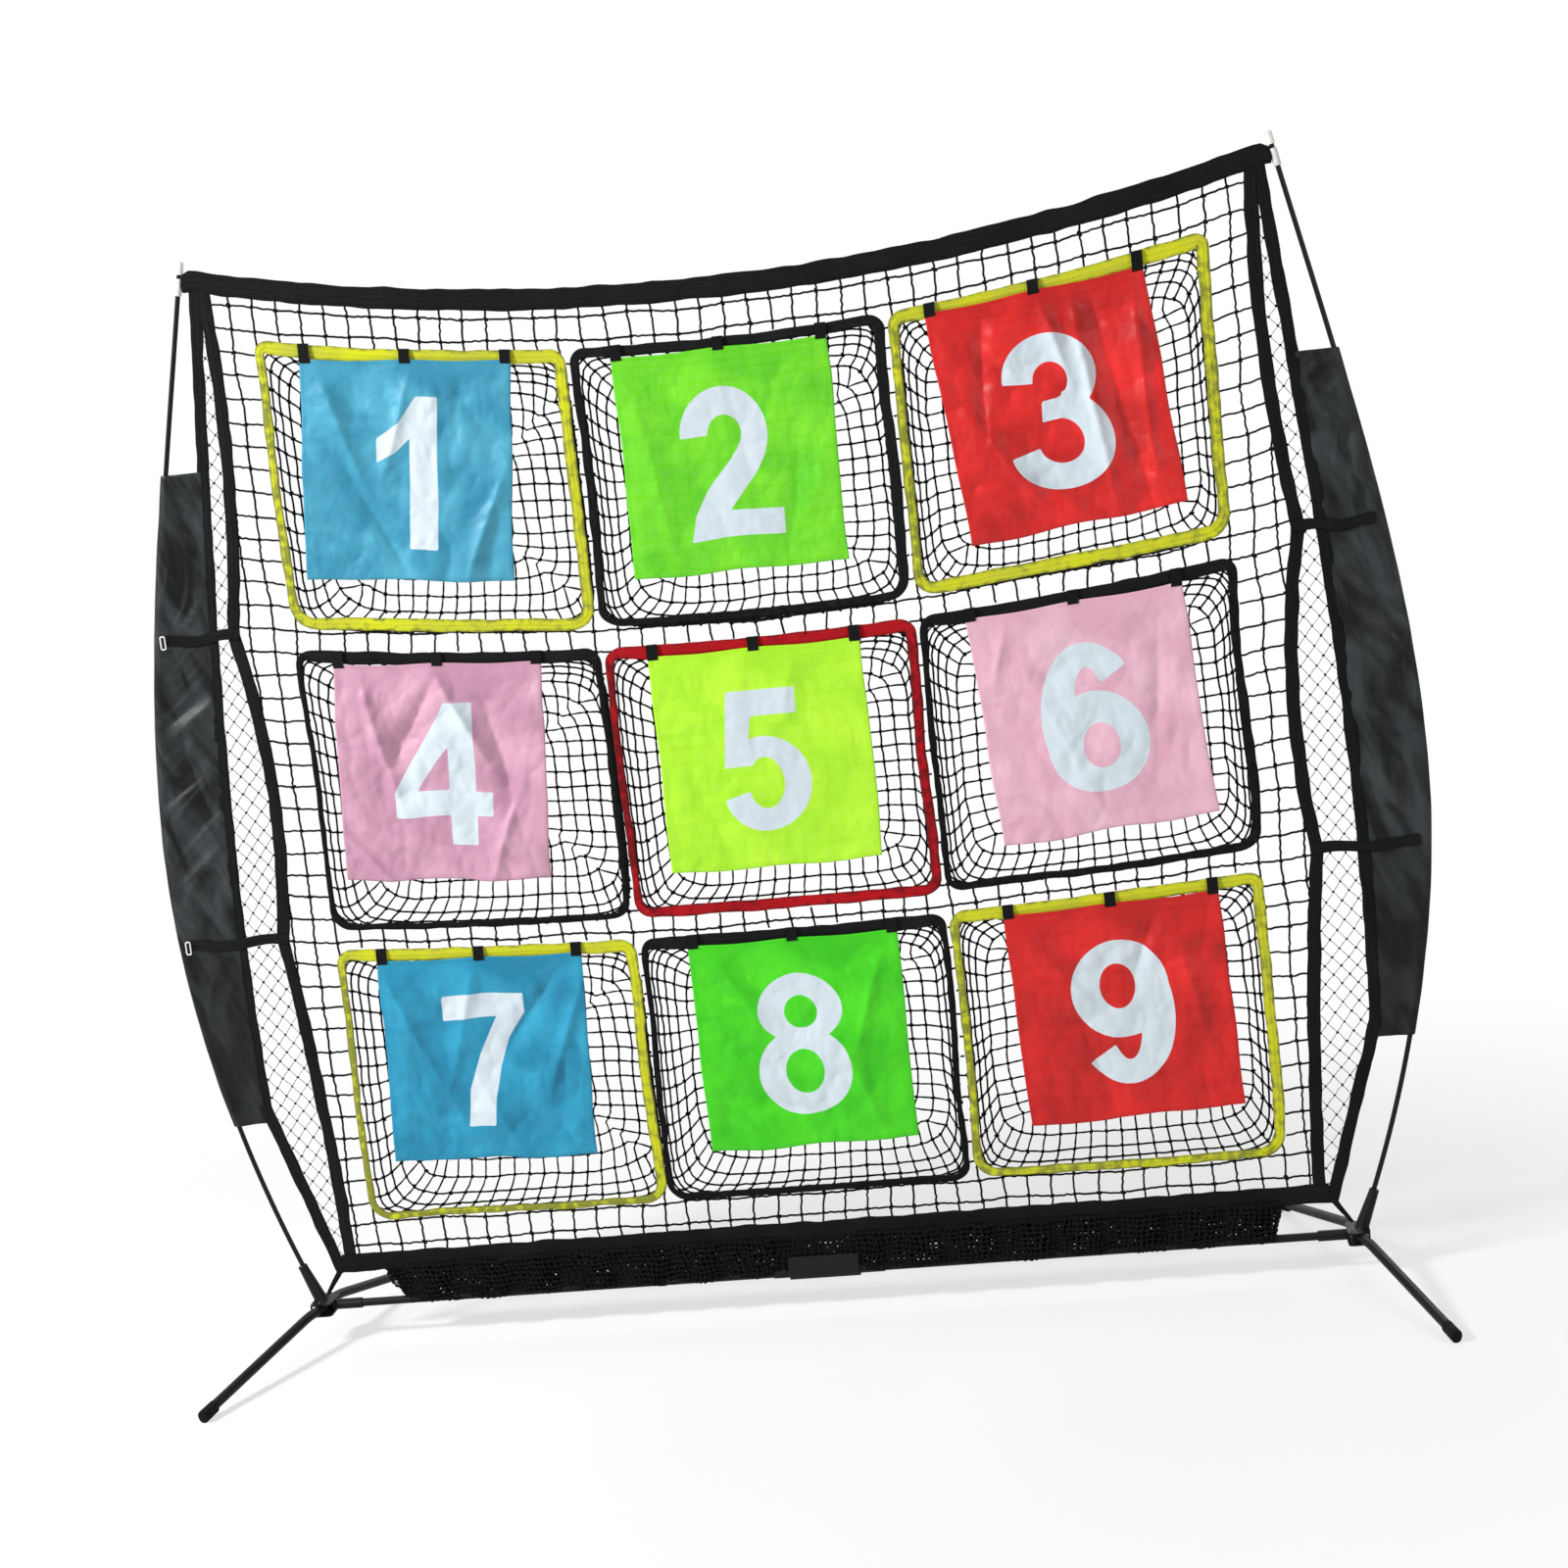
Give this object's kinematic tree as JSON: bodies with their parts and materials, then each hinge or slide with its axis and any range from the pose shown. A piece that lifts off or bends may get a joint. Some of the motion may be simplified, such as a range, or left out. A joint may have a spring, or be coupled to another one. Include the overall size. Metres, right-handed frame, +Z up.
{
  "type": "pitching target net",
  "caption": "Free-standing throwing target: a net with numbered flags over catch pockets, held taut by two bowed poles on a low base bar with folding legs.",
  "frame": {"origin": "on the floor under the middle of the base bar, in the plane of the net", "axes": "+X along the base bar, to the thrower's right; +Y away from the thrower, through the net; +Z up"},
  "size_m": [2.4552, 0.8406, 2.1593],
  "materials": {
    "tube_steel_black": "black powder-coated steel tube and plate",
    "plated_steel": "zinc-plated steel",
    "fibreglass_black": "smooth black fibreglass rod",
    "cap_white": "moulded white plastic",
    "rubber_black": "moulded black rubber",
    "sleeve_cloth": "coated black polyester cloth, lightly wrinkled",
    "webbing_black": "black polyester webbing",
    "net_black": "knotted black polyester netting",
    "patch_grey": "dark grey hook-and-loop patch",
    "binding_yellow": "yellow polyester binding",
    "binding_red": "dark red polyester binding",
    "flag_blue": "sky blue nylon cloth",
    "flag_green": "bright green nylon cloth",
    "flag_red": "red nylon cloth",
    "flag_pink": "pink nylon cloth",
    "flag_lime": "lime nylon cloth"
  },
  "bodies": {
    "frame_and_net": {"base_bar_right": "tube_steel_black", "base_bar_left": "tube_steel_black", "bar_coupler": "tube_steel_black", "hub_right": "tube_steel_black", "hub_left": "tube_steel_black", "leg_rivet_front_right": "plated_steel", "leg_rivet_front_left": "plated_steel", "leg_rivet_rear_right": "plated_steel", "leg_rivet_rear_left": "plated_steel", "pole_lower_right": "fibreglass_black", "pole_lower_left": "fibreglass_black", "pole_middle_right": "fibreglass_black", "pole_middle_left": "fibreglass_black", "pole_upper_right": "fibreglass_black", "pole_upper_left": "fibreglass_black", "pole_tip_cap_right": "cap_white", "pole_tip_cap_left": "cap_white", "target_net": "net_black", "side_net_right": "net_black", "side_net_left": "net_black", "top_band": "webbing_black", "bottom_band": "webbing_black", "side_webbing_right": "webbing_black", "side_webbing_left": "webbing_black", "pole_sleeve_right": "sleeve_cloth", "pole_sleeve_left": "sleeve_cloth", "net_skirt": "net_black", "bar_wrap": "patch_grey", "catch_pouches_top": "net_black", "catch_pouches_middle": "net_black", "catch_pouches_bottom": "net_black", "pocket_ring_1": "binding_yellow", "pocket_ring_2": "webbing_black", "pocket_ring_3": "binding_yellow", "pocket_ring_4": "webbing_black", "pocket_ring_5": "binding_red", "pocket_ring_6": "webbing_black", "pocket_ring_7": "binding_yellow", "pocket_ring_8": "webbing_black", "pocket_ring_9": "binding_yellow"},
    "front_right_leg": {"leg_front_right": "tube_steel_black", "foot_front_right": "rubber_black"},
    "front_left_leg": {"leg_front_left": "tube_steel_black", "foot_front_left": "rubber_black"},
    "rear_right_leg": {"leg_rear_right": "tube_steel_black", "foot_rear_right": "rubber_black"},
    "rear_left_leg": {"leg_rear_left": "tube_steel_black", "foot_rear_left": "rubber_black"},
    "right_button": {"snap_button_right": "plated_steel"},
    "left_button": {"snap_button_left": "plated_steel"},
    "flag_1": {"number_flag_1": "flag_blue"},
    "flag_2": {"number_flag_2": "flag_green"},
    "flag_3": {"number_flag_3": "flag_red"},
    "flag_4": {"number_flag_4": "flag_pink"},
    "flag_5": {"number_flag_5": "flag_lime"},
    "flag_6": {"number_flag_6": "flag_pink"},
    "flag_7": {"number_flag_7": "flag_blue"},
    "flag_8": {"number_flag_8": "flag_green"},
    "flag_9": {"number_flag_9": "flag_red"}
  },
  "joints": [
    {"name": "front_right_leg_fold", "type": "hinge", "parent": "frame_and_net", "child": "front_right_leg", "pos_m": [1.03, -0.024, 0.075], "axis": [0, 0, -1], "range_deg": [0, 105]},
    {"name": "front_left_leg_fold", "type": "hinge", "parent": "frame_and_net", "child": "front_left_leg", "pos_m": [-1.03, -0.024, 0.075], "axis": [0, 0, 1], "range_deg": [0, 105]},
    {"name": "rear_right_leg_fold", "type": "hinge", "parent": "frame_and_net", "child": "rear_right_leg", "pos_m": [1.03, 0.024, 0.075], "axis": [0, 0, 1], "range_deg": [0, 69]},
    {"name": "rear_left_leg_fold", "type": "hinge", "parent": "frame_and_net", "child": "rear_left_leg", "pos_m": [-1.03, 0.024, 0.075], "axis": [0, 0, -1], "range_deg": [0, 69]},
    {"name": "right_button_press", "type": "slide", "parent": "frame_and_net", "child": "right_button", "axis": [0, -1, 0], "range_m": [0, 0.0042], "stiffness_N_per_m": 600},
    {"name": "left_button_press", "type": "slide", "parent": "frame_and_net", "child": "left_button", "axis": [0, -1, 0], "range_m": [0, 0.0042], "stiffness_N_per_m": 600},
    {"name": "flag_1_swing", "type": "hinge", "parent": "frame_and_net", "child": "flag_1", "pos_m": [-0.615, -0.009, 1.92355], "axis": [0.994, 0, -0.1095], "range_deg": [-90, 24]},
    {"name": "flag_2_swing", "type": "hinge", "parent": "frame_and_net", "child": "flag_2", "pos_m": [-0.015, -0.009, 1.88122], "axis": [1, 0, -0.0027], "range_deg": [-90, 24]},
    {"name": "flag_3_swing", "type": "hinge", "parent": "frame_and_net", "child": "flag_3", "pos_m": [0.58, -0.009, 1.91887], "axis": [0.9946, 0, 0.1034], "range_deg": [-90, 24]},
    {"name": "flag_4_swing", "type": "hinge", "parent": "frame_and_net", "child": "flag_4", "pos_m": [-0.628, -0.009, 1.34272], "axis": [0.9971, 0, -0.0756], "range_deg": [-90, 24]},
    {"name": "flag_5_swing", "type": "hinge", "parent": "frame_and_net", "child": "flag_5", "pos_m": [-0.012, -0.009, 1.31298], "axis": [1, 0, -0.0014], "range_deg": [-90, 24]},
    {"name": "flag_6_swing", "type": "hinge", "parent": "frame_and_net", "child": "flag_6", "pos_m": [0.599, -0.009, 1.34004], "axis": [0.9974, 0, 0.0721], "range_deg": [-90, 24]},
    {"name": "flag_7_swing", "type": "hinge", "parent": "frame_and_net", "child": "flag_7", "pos_m": [-0.62, -0.009, 0.75969], "axis": [0.9993, 0, -0.0386], "range_deg": [-90, 24]},
    {"name": "flag_8_swing", "type": "hinge", "parent": "frame_and_net", "child": "flag_8", "pos_m": [0, -0.009, 0.74474], "axis": [1, 0, 0], "range_deg": [-90, 24]},
    {"name": "flag_9_swing", "type": "hinge", "parent": "frame_and_net", "child": "flag_9", "pos_m": [0.615, -0.009, 0.75945], "axis": [0.9993, 0, 0.0382], "range_deg": [-90, 24]}
  ]
}
